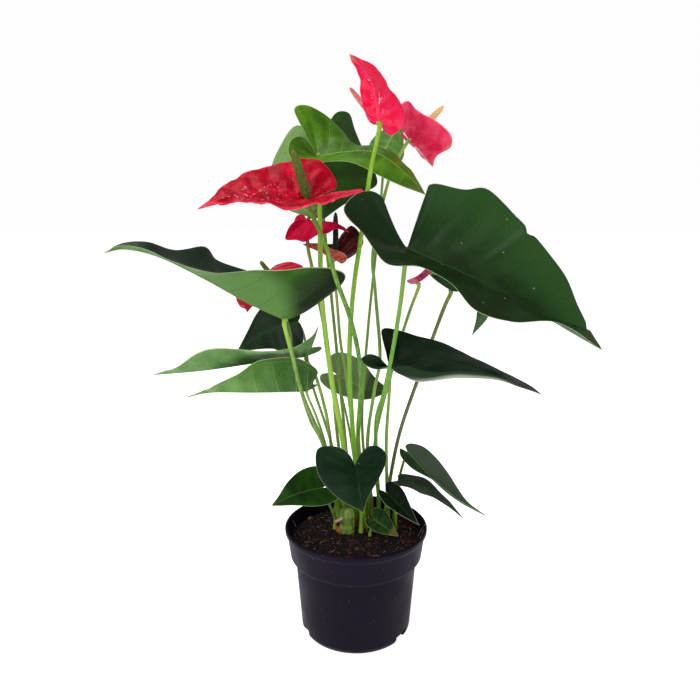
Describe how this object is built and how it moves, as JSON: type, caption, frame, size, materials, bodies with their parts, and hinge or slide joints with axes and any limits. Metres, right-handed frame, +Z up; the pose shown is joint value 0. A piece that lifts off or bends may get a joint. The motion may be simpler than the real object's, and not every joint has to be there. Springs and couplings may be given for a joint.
{
  "type": "potted anthurium",
  "caption": "Potted anthurium with heart-shaped glossy leaves and red spathes on long thin stalks, growing in a plain dark plastic nursery pot filled with peat.",
  "frame": {"origin": "centre of the pot's underside, on the surface that the pot stands on", "axes": "+Z up along the pot's axis; -Y to the plant's show side, which faces the viewer; +X to the viewer's right"},
  "size_m": [0.3593, 0.2166, 0.4941],
  "materials": {
    "pot": "satin moulded plastic, dark violet-black",
    "soil": "rough damp peat",
    "crown": "satin, fleshy green with brown scars",
    "sheath": "dry and papery",
    "dark_leaf": "waxy satin gloss",
    "mid_leaf": "waxy satin gloss",
    "bright_leaf": "waxy satin gloss",
    "leaf_stalk": "smooth satin",
    "flower_stalk": "smooth satin",
    "red_spathe": "lacquer-like high gloss",
    "rose_spathe": "fading, satin",
    "maroon_spathe": "fading, satin",
    "green_spadix": "finely bumpy, matt",
    "yellow_spadix": "finely bumpy, matt",
    "pink_spadix": "finely bumpy, matt",
    "dark_spadix": "finely bumpy, matt"
  },
  "bodies": {
    "root": {"pot": "pot", "soil": "soil", "crown": "crown", "sheath": "sheath", "leaf_right_large_blade": "dark_leaf", "leaf_right_large_stalk": "leaf_stalk", "leaf_left_large_blade": "mid_leaf", "leaf_left_large_stalk": "leaf_stalk", "leaf_top_bright_blade": "bright_leaf", "leaf_top_bright_stalk": "leaf_stalk", "leaf_top_rear_blade": "dark_leaf", "leaf_top_rear_stalk": "leaf_stalk", "leaf_top_small_blade": "mid_leaf", "leaf_top_small_stalk": "leaf_stalk", "leaf_left_upper_blade": "mid_leaf", "leaf_left_upper_stalk": "leaf_stalk", "leaf_left_lower_blade": "bright_leaf", "leaf_left_lower_stalk": "leaf_stalk", "leaf_left_rear_blade": "dark_leaf", "leaf_left_rear_stalk": "leaf_stalk", "leaf_right_middle_blade": "dark_leaf", "leaf_right_middle_stalk": "leaf_stalk", "leaf_centre_rear_blade": "bright_leaf", "leaf_centre_rear_stalk": "leaf_stalk", "leaf_right_rear_blade": "mid_leaf", "leaf_right_rear_stalk": "leaf_stalk", "leaf_front_heart_blade": "dark_leaf", "leaf_front_heart_stalk": "leaf_stalk", "leaf_low_left_blade": "bright_leaf", "leaf_low_left_stalk": "leaf_stalk", "leaf_low_right_blade": "dark_leaf", "leaf_low_right_stalk": "leaf_stalk", "leaf_low_right_narrow_blade": "dark_leaf", "leaf_low_right_narrow_stalk": "leaf_stalk", "leaf_rim_right_blade": "dark_leaf", "leaf_rim_right_stalk": "leaf_stalk", "leaf_rim_small_blade": "bright_leaf", "leaf_rim_small_stalk": "leaf_stalk", "flower_top_spathe": "red_spathe", "flower_top_stalk": "flower_stalk", "flower_top_spadix": "pink_spadix", "flower_top_right_spathe": "rose_spathe", "flower_top_right_stalk": "flower_stalk", "flower_top_right_spadix": "yellow_spadix", "flower_front_spathe": "red_spathe", "flower_front_stalk": "flower_stalk", "flower_front_spadix": "green_spadix", "flower_old_pink_spathe": "rose_spathe", "flower_old_pink_stalk": "flower_stalk", "flower_old_pink_spadix": "green_spadix", "flower_old_maroon_spathe": "maroon_spathe", "flower_old_maroon_stalk": "flower_stalk", "flower_old_maroon_spadix": "dark_spadix", "flower_left_rear_spathe": "rose_spathe", "flower_left_rear_stalk": "flower_stalk", "flower_left_rear_spadix": "green_spadix", "flower_right_rear_spathe": "rose_spathe", "flower_right_rear_stalk": "flower_stalk", "flower_right_rear_spadix": "green_spadix"}
  },
  "joints": []
}
